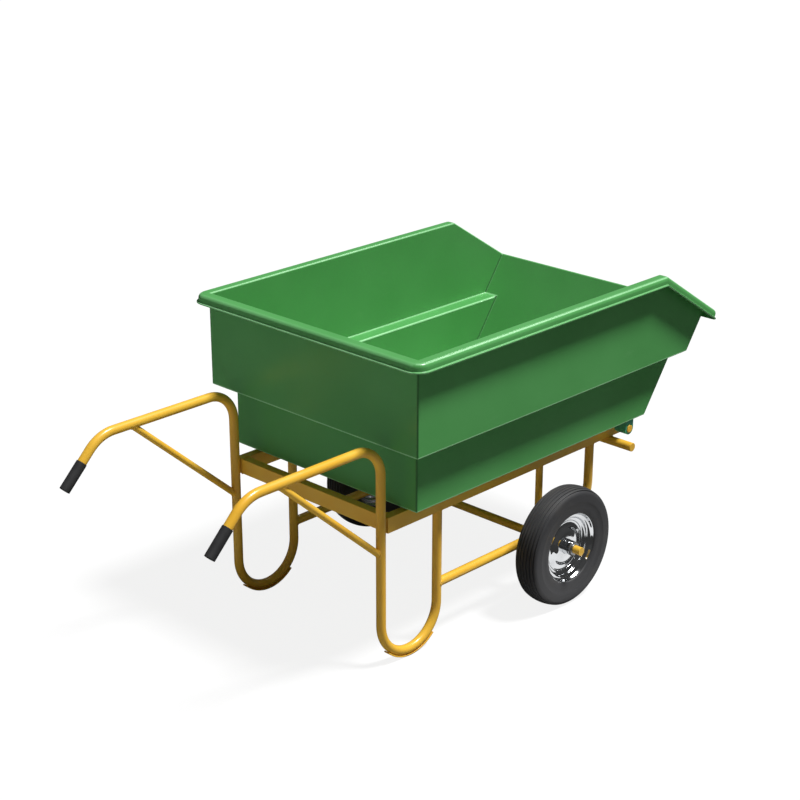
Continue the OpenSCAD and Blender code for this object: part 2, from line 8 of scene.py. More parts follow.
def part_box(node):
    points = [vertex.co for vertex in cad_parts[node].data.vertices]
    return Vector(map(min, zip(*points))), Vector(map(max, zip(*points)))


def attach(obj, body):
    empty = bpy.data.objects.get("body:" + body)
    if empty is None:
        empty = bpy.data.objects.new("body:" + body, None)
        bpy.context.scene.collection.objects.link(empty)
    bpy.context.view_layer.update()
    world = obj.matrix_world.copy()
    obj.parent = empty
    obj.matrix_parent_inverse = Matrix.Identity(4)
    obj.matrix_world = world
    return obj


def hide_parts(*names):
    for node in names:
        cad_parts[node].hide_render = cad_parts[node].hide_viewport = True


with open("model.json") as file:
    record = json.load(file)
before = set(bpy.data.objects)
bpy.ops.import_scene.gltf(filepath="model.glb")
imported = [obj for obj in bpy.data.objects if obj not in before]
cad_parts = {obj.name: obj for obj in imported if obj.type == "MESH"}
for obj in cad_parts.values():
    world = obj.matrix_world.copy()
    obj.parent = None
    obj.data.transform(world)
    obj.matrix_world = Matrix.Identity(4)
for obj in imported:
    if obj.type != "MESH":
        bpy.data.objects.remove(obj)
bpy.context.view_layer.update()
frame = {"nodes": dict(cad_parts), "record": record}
axleY = sum(corner.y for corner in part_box("axle")) / 2  # lengths along Y below are measured from the axle
axlePlace = Vector((0, axleY, 0))
scene = bpy.context.scene
scene.view_settings.view_transform = "Standard"
print("frame loaded,", len(frame["nodes"]), "CAD nodes")


# camera, placed from the lines of the photograph
viewpoint = {
    "place": (3.7624, -4.2242, 2.7558),
    "azimuth": 44.451,
    "elevation": 22.347,
    "roll": -0.140,
    "sensor": 36,
    "lens": 82.09,
    "shift": (0.0208, 0.0538),
}
camera = bpy.data.objects.new("camera", bpy.data.cameras.new("camera"))
scene.collection.objects.link(camera)
camera.data.sensor_width = viewpoint["sensor"]
camera.data.lens = viewpoint["lens"]
camera.data.shift_x, camera.data.shift_y = viewpoint["shift"]
camera.matrix_world = (
    Matrix.Translation(Vector(viewpoint["place"]) + axlePlace)
    @ Matrix.Rotation(math.radians(viewpoint["azimuth"]), 4, "Z")
    @ Matrix.Rotation(math.radians(90 - viewpoint["elevation"]), 4, "X")
    @ Matrix.Rotation(math.radians(viewpoint["roll"]), 4, "Z")
)
scene.camera = camera
print("camera placed")


class Wire:
    # one socket on a node board; arithmetic on it adds Math nodes
    def __init__(self, board, socket):
        self.board, self.socket = board, socket

    def __getitem__(self, name):
        outputs = self.socket.node.outputs
        return Wire(self.board, next(s for s in outputs if s.name == name and s.enabled))

    def math(self, operation, *others):
        return self.board.math(operation, self, *others)

    def __add__(self, other):
        return self.math("ADD", other)

    def __rsub__(self, other):
        return self.board.math("SUBTRACT", other, self)

    def __mul__(self, other):
        return self.math("MULTIPLY", other)

    __radd__, __rmul__ = __add__, __mul__


class Board:
    # a shader or geometry tree that nodes are put on
    def __init__(self, tree):
        self.tree = tree

    def node(self, kind, settings=None, sockets=None):
        made = self.tree.nodes.new(kind)
        for name, value in (settings or {}).items():
            setattr(made, name, value)
        for name, value in (sockets or {}).items():
            self.plug(value, made.inputs[name])
        shown = [s for s in made.outputs if s.enabled]
        return Wire(self, shown[0]) if shown else made

    def math(self, operation, *values):
        return self.node("ShaderNodeMath", {"operation": operation}, dict(enumerate(values)))

    def plug(self, value, socket):
        if isinstance(value, Wire):
            self.tree.links.new(value.socket, socket)
        else:
            socket.default_value = value


class Finish(Board):
    # a material round one Principled shader, with its pattern on Object coordinates
    def __init__(self, name, constants):
        self.material = bpy.data.materials.new(name)
        self.material.use_nodes = True
        super().__init__(self.material.node_tree)
        self.shader = self.tree.nodes["Principled BSDF"]
        for socket, value in constants.items():
            self.shader.inputs[socket].default_value = value
        self.place = self.node("ShaderNodeTexCoord")["Object"]

    def noise(self, scale, detail=2.0, stretch=(1, 1, 1)):
        place = self.place
        if stretch != (1, 1, 1):
            place = self.node("ShaderNodeMapping", None, {"Vector": place, "Scale": stretch})
        return self.node("ShaderNodeTexNoise", None, {"Vector": place, "Scale": scale, "Detail": detail})

    def spread(self, value, low, high, outLow=0.0, outHigh=1.0):
        return self.node("ShaderNodeMapRange", {"interpolation_type": "SMOOTHSTEP"}, {
            "Value": value, "From Min": low, "From Max": high, "To Min": outLow, "To Max": outHigh})

    def mix(self, factor, first, second):
        return self.node("ShaderNodeMix", {"data_type": "RGBA"}, {0: factor, 6: first, 7: second})

    def bump(self, height, strength, distance):
        return self.node("ShaderNodeBump", None, {
            "Height": height, "Strength": strength, "Distance": distance})

    def shade(self, links):
        for socket, value in links.items():
            self.plug(value, self.shader.inputs[socket])
        return self.material


def tone(red, green, blue):
    # an sRGB colour as the linear one that sockets take
    return tuple(c / 12.92 if c <= 0.04045 else ((c + 0.055) / 1.055) ** 2.4
                 for c in (red / 255, green / 255, blue / 255)) + (1.0,)


def tubPlastic():
    look = {
        "leaf": (88, 169, 91), "pale": (96, 177, 99), "cloudSpan": (0.3, 0.7),
        "scuff": (135, 198, 135), "scratchStretch": (14, 1, 3), "scratchSpan": (0.66, 0.8), "scuffed": 0.10,
        # the edge tint is a painted highlight on the fillets, and the darker green beside it is painted shade
        # in the seams
        "edge": (168, 234, 172), "patchy": (0.2, 0.5, 0.65, 0.95), "grime": (34, 70, 38),
        "lowEdges": {0.5133: 1.0, 0.7173: 0.95}, "bandFoot": (0.0004, 0.001), "band": 0.0058,
        "bandFade": 0.7, "insideX": 0.3935, "insideY": -0.651, "rearLip": -0.7455, "rearWear": 0.5,
    }
    made = Finish("tubPlastic", {"IOR": 1.5})
    cloud = made.spread(made.noise(2.4, 3.0), *look["cloudSpan"])
    colour = made.mix(cloud, tone(*look["leaf"]), tone(*look["pale"]))
    scratches = made.spread(made.noise(9.0, 4.0, look["scratchStretch"]), *look["scratchSpan"])
    colour = made.mix(scratches * look["scuffed"], colour, tone(*look["scuff"]))
    edge = made.node("ShaderNodeAttribute", {"attribute_name": "fillet"})["Fac"]
    place = made.node("ShaderNodeSeparateXYZ", None, {0: made.place})
    x, y, z = (place[axis] for axis in "XYZ")
    outside = x.math("ABSOLUTE").math("GREATER_THAN", look["insideX"])
    outside = outside.math("MAXIMUM", y.math("LESS_THAN", look["insideY"] + axleY))
    # painted highlight: a pale band along the low outer edges, at the bottom and at the step
    for low, highlightLevel in look["lowEdges"].items():
        foot = made.spread(z, *(low + height for height in look["bandFoot"]))
        fade = made.spread(z, low + look["band"], low + look["band"] * look["bandFade"])
        edge = edge + highlightLevel * outside * (foot * fade)
    # painted highlight along the rear lip, which lies in shadow
    edge = edge + look["rearWear"] * y.math("LESS_THAN", look["rearLip"] + axleY)
    wearAndHighlight = edge * made.spread(made.noise(16.0, 4.0), *look["patchy"])  # painted highlight along the fillets, uneven in strength
    colour = made.mix(0 - edge, colour, tone(*look["grime"]))  # painted shade on steep fillets and in the corners between walls
    return made.shade({
        "Base Color": made.mix(wearAndHighlight, colour, tone(*look["edge"])),
        "Roughness": 0.26 + 0.10 * made.noise(7.0, 3.0) + 0.10 * scratches,
        "Normal": made.bump(made.noise(420.0, 2.0), 0.05, 0.0006),
    })


def framePaint():
    look = {"sun": (255, 203, 72), "deep": (253, 194, 60), "cloudSpan": (0.3, 0.7), "bare": (150, 148, 144),
            "wornBelow": (0.011, 0.0075), "wornUneven": 0.012}
    made = Finish("framePaint", {"IOR": 1.5, "Coat Weight": 0.25, "Coat Roughness": 0.12})
    cloud = made.spread(made.noise(6.0, 3.0), *look["cloudSpan"])
    colour = made.mix(cloud, tone(*look["deep"]), tone(*look["sun"]))
    height = made.node("ShaderNodeSeparateXYZ", None, {0: made.place})["Z"]
    uneven = height + look["wornUneven"] * made.noise(60.0, 4.0)
    wearAndHighlight = made.spread(uneven, *look["wornBelow"])  # worn off where the feet stand
    return made.shade({
        "Base Color": made.mix(wearAndHighlight, colour, tone(*look["bare"])),
        "Metallic": wearAndHighlight,
        "Roughness": 0.26 + 0.12 * made.noise(11.0, 3.0) + 0.12 * wearAndHighlight,
        "Normal": made.bump(made.noise(260.0, 2.0), 0.05, 0.0005),
    })


# plain finishes: two tones and a roughness that follow one noise, with a fine grain where one is given
plainLooks = {
    "rimChrome": {
        "constants": {"Metallic": 1.0}, "noise": (18.0, 4.0), "tones": ((226, 228, 230), (204, 206, 208)),
        "toneSpan": (0.35, 0.75), "rough": (0.05, 0.10), "roughSpan": (0.4, 0.8)},
    "tyreRubber": {
        "constants": {"IOR": 1.45}, "noise": (14.0, 5.0), "tones": ((64, 64, 66), (92, 89, 84)),
        "toneSpan": (0.45, 0.8), "toneShare": 0.35, "rough": (0.58, 0.16), "roughSpan": (0.45, 0.8),
        "grain": (380.0, 3.0), "relief": (0.10, 0.0006)},
    "gripRubber": {
        "constants": {"IOR": 1.45}, "noise": (22.0, 3.0), "tones": ((43, 43, 44), (52, 52, 53)),
        "toneSpan": (0.3, 0.7), "rough": (0.55, 0.15), "grain": (520.0, 2.0), "relief": (0.15, 0.0006)},
    "earPaint": {
        "constants": {"IOR": 1.5}, "noise": (20.0, 3.0), "tones": ((66, 170, 136), (74, 180, 145)),
        "toneSpan": (0.3, 0.7), "rough": (0.32, 0.12), "grain": (300.0, 2.0), "relief": (0.06, 0.0005)},
    "bushNylon": {
        "constants": {"IOR": 1.5}, "noise": (40.0, 3.0), "tones": ((98, 100, 102), (122, 124, 126)),
        "rough": (0.40, 0.15)},
    "zincSteel": {
        "constants": {"Metallic": 1.0}, "noise": (90.0, 4.0), "tones": ((168, 172, 176), (196, 199, 202)),
        "toneSpan": (0.3, 0.7), "rough": (0.26, 0.18)},
}


def plainFinish(name):
    look = plainLooks[name]
    made = Finish(name, look["constants"])
    cloud = made.noise(*look["noise"])
    blend = made.spread(cloud, *look["toneSpan"]) if "toneSpan" in look else cloud
    if "toneShare" in look:
        blend = blend * look["toneShare"]
    uneven = made.spread(cloud, *look["roughSpan"]) if "roughSpan" in look else cloud
    smoothest, added = look["rough"]
    first, second = (tone(*colour) for colour in look["tones"])
    links = {"Base Color": made.mix(blend, first, second), "Roughness": smoothest + added * uneven}
    if "grain" in look:
        links["Normal"] = made.bump(made.noise(*look["grain"]), *look["relief"])
    return made.shade(links)


finishes = {
    "tub_green": tubPlastic(),
    "frame_yellow": framePaint(),
    "rim_chrome": plainFinish("rimChrome"),
    "tyre_grey": plainFinish("tyreRubber"),
    "grip_black": plainFinish("gripRubber"),
    "ear_green": plainFinish("earPaint"),
    "bush_grey": plainFinish("bushNylon"),
    "zinc_steel": plainFinish("zincSteel"),
    "tube_rubber": plainFinish("gripRubber"),
}
print("finishes mixed:", len(finishes))


# studio: pale floor, white surround, a soft steep key, and cards that only shine in reflections
studio = {
    "key": 3.85, "keyFrom": (0.31, 0.27, 0.91), "keyWidth": 12, "ambient": 0.09, "mirrored": 0.06,
    "floorReach": 40, "floorWhite": 0.95, "floorGlow": 0.84, "glowLevel": 1.03, "floorMirrored": 0.03,
    "floorShade": (0.16, 0.53), "floorLean": (-0.10, -0.08), "leanSpan": 0.25,
    "softboxGlow": 9.0, "cardGlow": 1.0,
}
softboxes = {
    "frontBox": [(-1.5, 2.2, 3.6), (1.5, 2.2, 3.6), (1.5, 2.75, 3.6), (-1.5, 2.75, 3.6)],
}
wheelCards = {
    "rightCard": [(0.50, 0.10, 0.002), (0.74, 0.10, 0.002), (0.74, 1.50, 0.002), (0.50, 1.50, 0.002)],
    "leftCard": [(-0.74, 0.10, 0.002), (-0.50, 0.10, 0.002), (-0.50, 1.50, 0.002), (-0.74, 1.50, 0.002)],
}


def grey(level):
    return (level, level, level, 1)


def flatCard(name, corners, finish):
    mesh = bpy.data.meshes.new(name)
    mesh.from_pydata(corners, [], [(0, 1, 2, 3)])
    mesh.materials.append(finish.material)
    card = bpy.data.objects.new(name, mesh)
    scene.collection.objects.link(card)
    return card


def makeSurround():
    world = bpy.data.worlds.new("studioWhite")
    world.use_nodes = True
    scene.world = world
    board = Board(world.node_tree)
    rays = board.node("ShaderNodeLightPath")
    seen, mirrored = rays["Is Camera Ray"], rays["Is Glossy Ray"]
    background = world.node_tree.nodes["Background"]
    background.inputs["Color"].default_value = grey(1)
    strength = seen + mirrored * studio["mirrored"] + studio["ambient"] * (1 - seen) * (1 - mirrored)
    board.plug(strength, background.inputs["Strength"])


def makeKey():
    key = bpy.data.objects.new("keyLamp", bpy.data.lights.new("keyLamp", "SUN"))
    scene.collection.objects.link(key)
    key.data.energy = studio["key"]
    key.data.angle = math.radians(studio["keyWidth"])
    key.rotation_euler = Vector(studio["keyFrom"]).to_track_quat("Z", "Y").to_euler()


def makeFloor():
    # white to the eye, and darker where it lights the cart or is mirrored in it
    paper = Finish("floorPaper", {"Roughness": 0.9, "Specular IOR Level": 0.1})
    rays = paper.node("ShaderNodeLightPath")
    seen = rays["Is Camera Ray"]
    place = paper.node("ShaderNodeSeparateXYZ", None, {0: paper.place})
    leanX, leanY = studio["floorLean"]
    lean = leanX * place["X"] + leanY * place["Y"]  # bounces more to the rear
    dark, light = (grey(level) for level in studio["floorShade"])
    bounce = paper.mix(paper.spread(lean, -studio["leanSpan"], studio["leanSpan"]), dark, light)
    unseen = paper.mix(rays["Is Glossy Ray"], bounce, grey(studio["floorMirrored"]))
    paper.shade({"Base Color": paper.mix(seen, unseen, grey(studio["floorWhite"]))})
    glow = paper.node("ShaderNodeEmission", None, {"Color": grey(1), "Strength": studio["glowLevel"]})
    shader = Wire(paper, paper.shader.outputs[0])
    both = paper.node("ShaderNodeMixShader", None, {0: seen * studio["floorGlow"], 1: shader, 2: glow})
    paper.plug(both, paper.tree.nodes["Material Output"].inputs["Surface"])
    reach = studio["floorReach"]
    flatCard("floor", [(-reach, -reach, 0), (reach, -reach, 0), (reach, reach, 0), (-reach, reach, 0)], paper)


def makeCards(cards, glow):
    cloth = Finish("cardCloth", {"Base Color": grey(0), "Roughness": 1.0, "Specular IOR Level": 0.0,
                                 "Emission Color": grey(1), "Emission Strength": glow})
    for name, corners in cards.items():
        card = flatCard(name, corners, cloth)
        card.visible_camera = card.visible_diffuse = card.visible_shadow = False


makeSurround()
makeKey()
makeFloor()
makeCards(softboxes, studio["softboxGlow"])
makeCards(wheelCards, studio["cardGlow"])
print("studio lit")


def mergedCopy(nodeName):
    # a CAD node's triangles joined into one skin, with its flat faces whole again
    skin = bmesh.new()
    skin.from_mesh(frame["nodes"][nodeName].data)
    bmesh.ops.remove_doubles(skin, verts=skin.verts, dist=1e-6)
    bmesh.ops.dissolve_limit(skin, angle_limit=math.radians(0.4), verts=skin.verts, edges=skin.edges)
    return skin


def newPiece(name, skin, slot):
    mesh = bpy.data.meshes.new(name)
    skin.to_mesh(mesh)
    skin.free()
    piece = bpy.data.objects.new(name, mesh)
    scene.collection.objects.link(piece)
    mesh.materials.append(finishes[slot])
    return piece


def settle(piece):
    # the evaluated mesh becomes the piece's own, and its modifiers go
    bpy.context.view_layer.update()
    evaluated = piece.evaluated_get(bpy.context.evaluated_depsgraph_get())
    mesh = bpy.data.meshes.new_from_object(evaluated)
    piece.modifiers.clear()
    piece.data = mesh


def markFillets(mesh, name, levelOf, fade=0.2):
    # fillet faces carry the second material after the bevel; the mark fades where a fillet meets a flat
    inFlat = set()
    for face in mesh.polygons:
        if face.material_index == 0:
            inFlat.update(face.vertices)
    mark = mesh.attributes.new(name, "FLOAT", "CORNER")
    for face in mesh.polygons:
        if face.material_index == 1:
            level = levelOf(face)
            for corner, vert in zip(face.loop_indices, face.vertices):
                mark.data[corner].value = level * (fade if vert in inFlat else 1.0)
            face.material_index = 0


def easeEdges(piece, width, segments=3, limit="ANGLE", sharp=32, mark="", levelOf=None):
    edge = piece.modifiers.new("easedEdges", "BEVEL")
    if mark:
        piece.data.materials.append(piece.data.materials[0])
        edge.material = 1
    edge.width = width
    edge.segments = segments
    edge.limit_method = limit
    edge.angle_limit = math.radians(sharp)
    piece.data.shade_smooth()
    flat = piece.modifiers.new("flatFaces", "WEIGHTED_NORMAL")
    flat.weight = 90
    settle(piece)
    if mark:
        markFillets(piece.data, mark, levelOf)
        piece.data.materials.pop()


def eased(nodeName, body, slot, width, segments=3):
    piece = newPiece(nodeName + ".made", mergedCopy(nodeName), slot)
    easeEdges(piece, width, segments)
    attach(piece, body)
    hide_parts(nodeName)


bodyOf = {node: body for body, nodes in frame["record"]["behaviour"]["bodies"].items() for node in nodes}


# plain frame pieces keep their CAD shape, with eased edges
easing = {
    "rail_left": 0.003, "rail_right": 0.003, "rear_cross_member": 0.0012,
    "front_cross_tube": 0.0006, "front_tube_caps": 0.002, "hinge_rod": 0.002,
    "handle_leg_left": 0.0006, "handle_leg_right": 0.0006,
    "handle_brace_left": 0.0004, "handle_brace_right": 0.0004,
    "leg_shoe_left": 0.0012, "leg_shoe_right": 0.0012,
    "lower_tube_rear_left": 0.0004, "lower_tube_rear_right": 0.0004,
    "lower_tube_front_left": 0.0004, "lower_tube_front_right": 0.0004,
    "axle_strut_left": 0.0004, "axle_strut_right": 0.0004,
    "axle_boss_left": 0.0012, "axle_boss_right": 0.0012,
    "axle": 0.0016, "axle_collars": 0.001,
}
for nodeName, width in easing.items():
    eased(nodeName, bodyOf[nodeName], "frame_yellow", width)
print("frame pieces eased:", len(easing))


# tub: one moulded skin, laid up loop by loop from the floor's edge over the rim and down inside
tubForm = {
    "halfWidth": 0.4515, "rear": -0.709, "step": 0.055, "floor": 0.5133, "stepTop": 0.7173, "rimTop": 1.0213,
    "wall": 0.006, "frontFoot": 0.459, "lean": 35.1, "kneeY": 0.428, "slope": 32.4,
    "rim": 0.035, "rimDepth": 0.029, "lip": 0.006, "lipThick": 0.005,
    "rearCorner": 0.042, "frontCorner": 0.022, "arc": 8,
}
tubFillets = {
    "floorOut": 0.004, "stepIn": 0.004, "stepOut": 0.0035, "wallTopOut": 0.002, "skirtIn": 0.002,
    "skirtFoot": 0.0015, "lipLow": 0.0017, "lipHigh": 0.0017, "skirtOut": 0.002, "rimOuter": 0.014,
    "rimInner": 0.006, "shelfOut": 0.006, "shelfIn": 0.008, "floorIn": 0.0045,
    "corner": 0.005, "widest": 0.014,
}
wallLoops = {"rimInner", "shelfOut", "shelfIn", "floorIn", "floorOut", "stepIn", "stepOut"}
runnerForm = {
    "half": 0.012, "x": 0.325, "from": -0.634, "to": 0.331, "low": 0.5003, "sink": 0.003, "fillet": 0.003,
}
# levels of painted highlight (positive) and painted shade (negative) on the tub's fillets, by where a fillet
# faces
tubPaintedLight = {
    "under": 1.0, "over": 0.5, "rimLine": 0.75, "rimEnd": 0.2, "seam": -0.6,
    "outerUp": 0.7, "innerUp": 0.45, "sideways": 0.3, "turned": 0.2, "steep": 0.45, "belowRim": 0.045,
}


class TubSkin:
    # corners of the tub by loop name; a loop has six groups, and a rounded corner is a group of several
    def __init__(self):
        self.skin = bmesh.new()
        self.weight = self.skin.edges.layers.float.new("bevel_weight_edge")
        self.loops = {}
        self.lean = math.tan(math.radians(tubForm["lean"]))
        self.slope = math.radians(tubForm["slope"])

    def frontAt(self, z):
        return tubForm["frontFoot"] + (z - tubForm["floor"]) * self.lean

    def lipAt(self, depth, inward=0.0):
        # where the front wall, set in by a distance along Y, comes to a depth below the spout's top
        form = tubForm
        tilt, drop = math.tan(self.slope), depth / math.cos(self.slope)
        foot = form["frontFoot"] - inward
        rise = form["rimTop"] - form["floor"] - drop + form["kneeY"] * tilt
        y = (foot + rise * self.lean) / (1 + tilt * self.lean)
        return y, form["rimTop"] - drop - (y - form["kneeY"]) * tilt

    def kneeAt(self, depth):
        return tubForm["kneeY"] - depth * math.tan(self.slope / 2), tubForm["rimTop"] - depth

    def addLoop(self, name, right):
        # right is the right half from rear to front, as groups of points; the left half mirrors it
        groups = [[Vector(p) + axlePlace for p in group] for group in right]
        mirrored = [[Vector((-p.x, p.y, p.z)) for p in reversed(group)] for group in reversed(groups)]
        self.loops[name] = [[self.skin.verts.new(p) for p in group] for group in groups + mirrored]

    def wallLoop(self, name, half, rear, z, inward=0.0):
        self.addLoop(name, [[(half, rear, z)], [(half, tubForm["kneeY"], z)],
                            [(half, self.frontAt(z) - inward, z)]])

    def wallTop(self, name, half, rear, depth, inward=0.0):
        self.addLoop(name, [[(half, rear, tubForm["rimTop"] - depth)], [(half, *self.kneeAt(depth))],
                            [(half, *self.lipAt(depth, inward))]])

    def rimLoop(self, name, grow, depth):
        form = tubForm
        half, rear = form["halfWidth"] + form["rim"] + grow, form["rear"] - form["rim"] - grow
        reach = (self.lipAt(0)[0] - form["kneeY"]) / math.cos(self.slope) + form["rim"] + grow
        rearRadius, frontRadius = form["rearCorner"] + grow, form["frontCorner"] + grow
        turns = [math.pi / 2 * i / form["arc"] for i in range(form["arc"] + 1)]
        rearArc = [(half - rearRadius + rearRadius * math.sin(t),
                    rear + rearRadius - rearRadius * math.cos(t),
                    form["rimTop"] - depth) for t in turns]
        frontArc = []
        for t in turns:
            along = reach - frontRadius + frontRadius * math.sin(t)
            frontArc.append((half - frontRadius + frontRadius * math.cos(t),
                             form["kneeY"] + along * math.cos(self.slope) - depth * math.sin(self.slope),
                             form["rimTop"] - along * math.sin(self.slope) - depth * math.cos(self.slope)))
        self.addLoop(name, [rearArc, [(half, *self.kneeAt(depth))], frontArc])

    def face(self, *corners):
        self.skin.faces.new(corners)

    def strip(self, lower, upper, front=True):
        first, second = self.loops[lower], self.loops[upper]
        for i in range(6):
            a, b = first[i], second[i]
            for k in range(max(len(a), len(b)) - 1):
                if len(a) == len(b):
                    self.face(a[k], a[k + 1], b[k + 1], b[k])
                elif len(a) == 1:
                    self.face(a[0], b[k + 1], b[k])
                else:
                    self.face(a[k], a[k + 1], b[0])
            j = (i + 1) % 6
            if front or i != 2:
                self.face(first[i][-1], first[j][0], second[j][0], second[i][-1])

    def frontEnds(self, name):
        return (group[0] for group in self.loops[name][2:4])

    def frontWall(self, low, shelf, wide, top):
        # the leaning wall, narrow below the shelf and wide above it
        lowRight, lowLeft = self.frontEnds(low)
        shelfRight, shelfLeft = self.frontEnds(shelf)
        wideRight, wideLeft = self.frontEnds(wide)
        topRight, topLeft = self.frontEnds(top)
        self.face(lowRight, lowLeft, shelfLeft, shelfRight)
        self.face(wideRight, shelfRight, shelfLeft, wideLeft, topLeft, topRight)

    def bottom(self, name):
        # floor in two fields, split below the knee
        g = [group[0] for group in self.loops[name]]
        self.face(g[0], g[1], g[4], g[5])
        self.face(g[1], g[2], g[3], g[4])

    def soften(self, sharp=20):
        loopOf = {vert: name for name, groups in self.loops.items() for group in groups for vert in group}
        for edge in self.skin.edges:
            if len(edge.link_faces) == 2 and edge.calc_face_angle() > math.radians(sharp):
                first, second = (loopOf[v] for v in edge.verts)
                if first == second:
                    radius = tubFillets[first]
                elif wallLoops & {first, second}:
                    radius = tubFillets["corner"]
                else:
                    radius = min(tubFillets[first], tubFillets[second])
                edge[self.weight] = radius / tubFillets["widest"]

    def addRunner(self, sign):
        runner, top = runnerForm, tubForm["floor"] + runnerForm["sink"]
        box = bmesh.ops.create_cube(self.skin, size=1.0)["verts"]
        size = (2 * runner["half"], runner["to"] - runner["from"], top - runner["low"])
        middle = (sign * runner["x"], axleY + (runner["to"] + runner["from"]) / 2, (top + runner["low"]) / 2)
        bmesh.ops.scale(self.skin, vec=size, verts=box)
        bmesh.ops.translate(self.skin, vec=middle, verts=box)
        for edge in {e for v in box for e in v.link_edges}:
            edge[self.weight] = runner["fillet"] / tubFillets["widest"]


def paintedLightOf(face):
    # painted highlight on the fillets: the low edges the most, the rim along one line at its sides; painted
    # shade on steep fillets and in the corners between walls
    form, lightLevels, normal = tubForm, tubPaintedLight, face.normal
    y, z = face.center.y - axleY, face.center.z
    tilt = math.radians(form["slope"]) if y > form["kneeY"] else 0.0
    depth = (form["rimTop"] - z) * math.cos(tilt) - (y - form["kneeY"]) * math.sin(tilt)
    up = normal.z * math.cos(tilt) + normal.y * math.sin(tilt)
    if depth < tubFillets["rimOuter"]:
        outer = abs(face.center.x) > form["halfWidth"] + form["wall"]
        if up < (lightLevels["outerUp"] if outer else lightLevels["innerUp"]):
            return 0.0
        return lightLevels["rimLine"] if abs(normal.x) > lightLevels["sideways"] else lightLevels["rimEnd"]
    betweenWalls = min(abs(normal.x), abs(normal.y)) > lightLevels["turned"] and depth > lightLevels["belowRim"]
    if abs(normal.z) < lightLevels["steep"] or betweenWalls:
        return lightLevels["seam"]
    return lightLevels["under"] if normal.z < 0 else lightLevels["over"]


def makeTub():
    form = tubForm
    tub = TubSkin()
    wall, half, rear = form["wall"], form["halfWidth"], form["rear"]
    lowHalf, lowRear = half - form["step"], rear + form["step"]
    skinY = wall / math.cos(math.radians(form["lean"]))
    floorTop, shelf = form["floor"] + wall, form["stepTop"] + wall
    tub.wallLoop("floorOut", lowHalf, lowRear, form["floor"])
    tub.wallLoop("stepIn", lowHalf, lowRear, form["stepTop"])
    tub.wallLoop("stepOut", half, rear, form["stepTop"])
    tub.wallTop("wallTopOut", half, rear, wall)
    tub.rimLoop("skirtIn", -wall, wall)
    tub.rimLoop("skirtFoot", -wall, form["rimDepth"])
    tub.rimLoop("lipLow", form["lip"], form["rimDepth"])
    tub.rimLoop("lipHigh", form["lip"], form["rimDepth"] - form["lipThick"])
    tub.rimLoop("skirtOut", 0.0, form["rimDepth"] - form["lipThick"])
    tub.rimLoop("rimOuter", 0.0, 0.0)
    tub.wallTop("rimInner", half - wall, rear + wall, 0.0, skinY)
    tub.wallLoop("shelfOut", half - wall, rear + wall, shelf, skinY)
    tub.wallLoop("shelfIn", lowHalf - wall, lowRear + wall, shelf, skinY)
    tub.wallLoop("floorIn", lowHalf - wall, lowRear + wall, floorTop, skinY)
    tub.bottom("floorOut")
    tub.strip("floorOut", "stepIn", front=False)
    tub.strip("stepIn", "stepOut", front=False)
    tub.strip("stepOut", "wallTopOut", front=False)
    tub.frontWall("floorOut", "stepIn", "stepOut", "wallTopOut")
    rimLoops = ["wallTopOut", "skirtIn", "skirtFoot", "lipLow", "lipHigh", "skirtOut", "rimOuter", "rimInner"]
    for lower, upper in zip(rimLoops, rimLoops[1:]):
        tub.strip(lower, upper)
    tub.strip("rimInner", "shelfOut", front=False)
    tub.strip("shelfOut", "shelfIn", front=False)
    tub.strip("shelfIn", "floorIn", front=False)
    tub.frontWall("floorIn", "shelfIn", "shelfOut", "rimInner")
    tub.bottom("floorIn")
    bmesh.ops.recalc_face_normals(tub.skin, faces=tub.skin.faces)
    tub.soften()
    for sign in (-1, 1):
        tub.addRunner(sign)
    piece = newPiece("tub.made", tub.skin, "tub_green")
    easeEdges(piece, tubFillets["widest"], 4, "WEIGHT", mark="fillet", levelOf=paintedLightOf)
    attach(piece, "tub")
    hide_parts("tub")
    return piece


print("tub moulded,", len(makeTub().data.polygons), "faces")


# wheels, turned about the axle from profiles of (distance outward, radius)
wheelForm = {
    "steps": 128, "tyreRadius": 0.200, "tyreHalf": 0.043, "crown": 0.110, "shoulder": 0.018, "wrap": 0.9,
    "samples": 150, "grooves": 7, "groovePitch": 0.0122, "grooveWidth": 0.0052, "grooveDepth": 0.0040,
    "grooveSteep": 2.2, "grooveBend": 0.8,
}
tyreSide = [(0.0428, 0.1590), (0.0426, 0.1560), (0.0418, 0.1545), (0.0408, 0.1380)]
tyreBead = [(0.0392, 0.1212), (0.0376, 0.1180), (0.0350, 0.1172)]
tyreInside = [(0.0300, 0.1165), (0.0200, 0.1130), (0.0180, 0.1250), (0.0340, 0.1500), (0.0340, 0.1780),
              (0.0240, 0.1900)]
rimSheet = [(0.0345, 0.1170), (0.0328, 0.1150), (0.0235, 0.1105), (0.0215, 0.1000), (0.0120, 0.0965),
            (0.0095, 0.0855)]
rimForm = {"narrow": 0.93, "inset": 0.001, "thick": 0.0022, "bend": 0.004}
discSheet = [(0.0075, 0.0853), (0.0055, 0.0800), (0.0062, 0.0650), (0.0150, 0.0550), (0.0172, 0.0440),
             (0.0172, 0.0242)]
discForm = {"thick": 0.0028, "bend": 0.005}


def turn(profile, middle, outward, steps):
    # spins a closed profile about the axle
    skin = bmesh.new()
    rings = []
    for step in range(steps):
        angle = 2 * math.pi * step / steps
        rings.append([
            skin.verts.new(middle + Vector((outward * u, r * math.cos(angle), r * math.sin(angle))))
            for u, r in profile
        ])
    for step in range(steps):
        ring, after = rings[step], rings[(step + 1) % steps]
        for i in range(len(profile)):
            j = (i + 1) % len(profile)
            skin.faces.new((ring[i], ring[j], after[j], after[i]))
    bmesh.ops.recalc_face_normals(skin, faces=skin.faces)
    return skin


